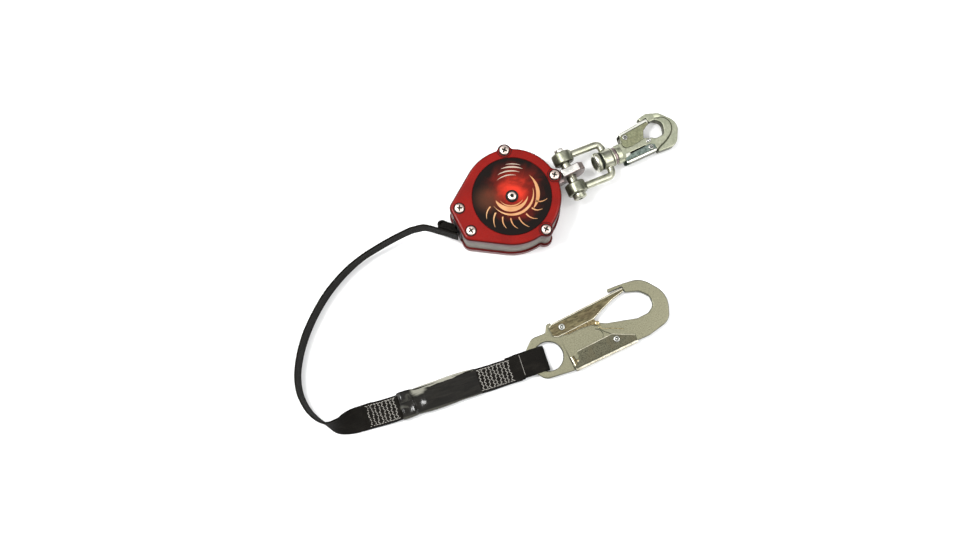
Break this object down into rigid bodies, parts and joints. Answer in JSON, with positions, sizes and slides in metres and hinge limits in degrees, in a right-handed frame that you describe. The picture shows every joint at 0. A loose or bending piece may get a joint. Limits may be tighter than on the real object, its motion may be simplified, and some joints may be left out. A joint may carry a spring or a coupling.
{
  "type": "self retracting lifeline",
  "caption": "Self retracting lifeline with a swivel anchor hook on a clevis, a black webbing line, an absorber pack and a double locking hook.",
  "frame": {"origin": "on the drum's axis, in the flat rear face that the casing lies on", "axes": "+Z along the drum's axis and out through the label, +X along the casing towards the anchor hook, +Y across it"},
  "size_m": [0.4609, 0.2311, 0.0517],
  "materials": {
    "cover_red": "satin moulded red",
    "rear_red": "satin moulded dark red",
    "band_grey": "matt grey",
    "label_black": "printed film",
    "black_plastic": "matt black",
    "bright_steel": "plated",
    "dark_steel": "phosphated",
    "zinc": "forged, bright zinc plated",
    "yellow_zinc": "forged, yellow zinc plated",
    "bronze_zinc": "pressed, dark yellow zinc plated",
    "spring_steel": "rolled spring steel",
    "brass": "turned",
    "webbing": "woven black webbing",
    "sleeve": "shrunk black film"
  },
  "bodies": {
    "casing": {"rear_cover": "rear_red", "center_ring": "band_grey", "front_cover": "cover_red", "label_plate": "label_black", "cover_screw_a": "bright_steel", "cover_screw_b": "bright_steel", "cover_screw_c": "bright_steel", "cover_screw_d": "bright_steel", "cover_screw_e": "bright_steel", "threaded_insert_a": "brass", "threaded_insert_b": "brass", "threaded_insert_c": "brass", "threaded_insert_d": "brass", "threaded_insert_e": "brass", "exit_guide": "black_plastic", "anchor_bracket": "dark_steel", "axle_shaft": "dark_steel", "axle_screw": "bright_steel", "axle_collar": "black_plastic", "ratchet_ring": "dark_steel"},
    "drum": {"drum_hub": "dark_steel", "drum_flange": "dark_steel", "webbing_coil": "webbing", "rear_bush": "brass", "front_bush": "brass", "pawl_pin_a": "bright_steel", "pawl_pin_b": "bright_steel", "pawl_spring_a": "spring_steel", "pawl_spring_b": "spring_steel", "power_spring": "spring_steel"},
    "pawl_a": {"pawl_a": "bright_steel"},
    "pawl_b": {"pawl_b": "bright_steel"},
    "shackle": {"shackle": "zinc", "clevis_pin": "zinc", "clevis_pin_nut": "bright_steel"},
    "anchor_hook": {"swivel_bolt": "zinc", "swivel_washer_inner": "zinc", "swivel_washer_outer": "dark_steel", "anchor_hook_body": "zinc", "anchor_gate_rivet": "bright_steel", "anchor_lever_rivet": "bright_steel"},
    "anchor_gate": {"anchor_gate": "zinc"},
    "anchor_lock_lever": {"anchor_lock_lever": "zinc"},
    "lifeline": {"webbing_tail": "webbing", "webbing_stop": "webbing", "lifeline_webbing": "webbing", "absorber_pack": "webbing", "absorber_sleeve": "sleeve"},
    "line_hook": {"webbing_loop": "webbing", "line_hook_body": "yellow_zinc", "line_gate_rivet": "bright_steel", "line_lever_rivet": "bright_steel"},
    "line_gate": {"line_gate": "bronze_zinc"},
    "line_lock_lever": {"line_lock_lever": "bronze_zinc"}
  },
  "joints": [
    {"name": "line_payout", "type": "slide", "parent": "casing", "child": "lifeline", "axis": [-0.7366, 0.6763, 0], "range_m": [0, 0.0402], "stiffness_N_per_m": 30, "springref_m": -0.1},
    {"name": "drum_spin", "type": "hinge", "parent": "casing", "child": "drum", "pos_m": [0, 0, 0], "axis": [0, 0, 1], "range_deg": [-60, 0]},
    {"name": "pawl_a_swing", "type": "hinge", "parent": "drum", "child": "pawl_a", "pos_m": [0, 0.022, 0.04], "axis": [0, 0, 1], "range_deg": [0, 18], "stiffness_Nm_per_rad": 0.01, "springref_deg": -11.46},
    {"name": "pawl_b_swing", "type": "hinge", "parent": "drum", "child": "pawl_b", "pos_m": [0, -0.022, 0.04], "axis": [0, 0, 1], "range_deg": [0, 18], "stiffness_Nm_per_rad": 0.01, "springref_deg": -11.46},
    {"name": "shackle_pivot", "type": "hinge", "parent": "casing", "child": "shackle", "pos_m": [0.065, 0, 0.023], "axis": [-0.0576, -0.9983, 0], "range_deg": [-83, 95]},
    {"name": "swivel_spin", "type": "hinge", "parent": "shackle", "child": "anchor_hook", "pos_m": [0.11138, -0.00267, 0.0159], "axis": [0.9869, -0.0569, -0.1511], "continuous": true},
    {"name": "anchor_gate_swing", "type": "hinge", "parent": "anchor_hook", "child": "anchor_gate", "pos_m": [0.13184, 0.00867, 0.01288], "axis": [0.1508, -0.0087, 0.9885], "range_deg": [-26, 0], "stiffness_Nm_per_rad": 0.08, "springref_deg": 17.19},
    {"name": "anchor_lever_press", "type": "hinge", "parent": "anchor_hook", "child": "anchor_lock_lever", "pos_m": [0.15149, -0.0112, 0.00971], "axis": [0.1508, -0.0087, 0.9885], "range_deg": [-6, 0], "stiffness_Nm_per_rad": 0.15, "springref_deg": 11.46},
    {"name": "line_hook_swing", "type": "hinge", "parent": "lifeline", "child": "line_hook", "pos_m": [-0.06456, -0.14802, 0.005], "axis": [0.1582, 0.9874, 0], "range_deg": [-75, 60], "deforming": ["webbing_loop"]},
    {"name": "line_gate_swing", "type": "hinge", "parent": "line_hook", "child": "line_gate", "pos_m": [-0.01202, -0.13177, 0.0053], "axis": [0, 0, 1], "range_deg": [-20, 0], "stiffness_Nm_per_rad": 0.3, "springref_deg": 22.92},
    {"name": "line_lever_press", "type": "hinge", "parent": "line_hook", "child": "line_lock_lever", "pos_m": [0.03072, -0.16686, 0.0053], "axis": [0, 0, 1], "range_deg": [-8, 0], "stiffness_Nm_per_rad": 0.5, "springref_deg": 11.46}
  ],
  "couplings": [
    {"joint": "drum_spin", "follows": "line_payout", "rad_per_m": -26.042}
  ]
}
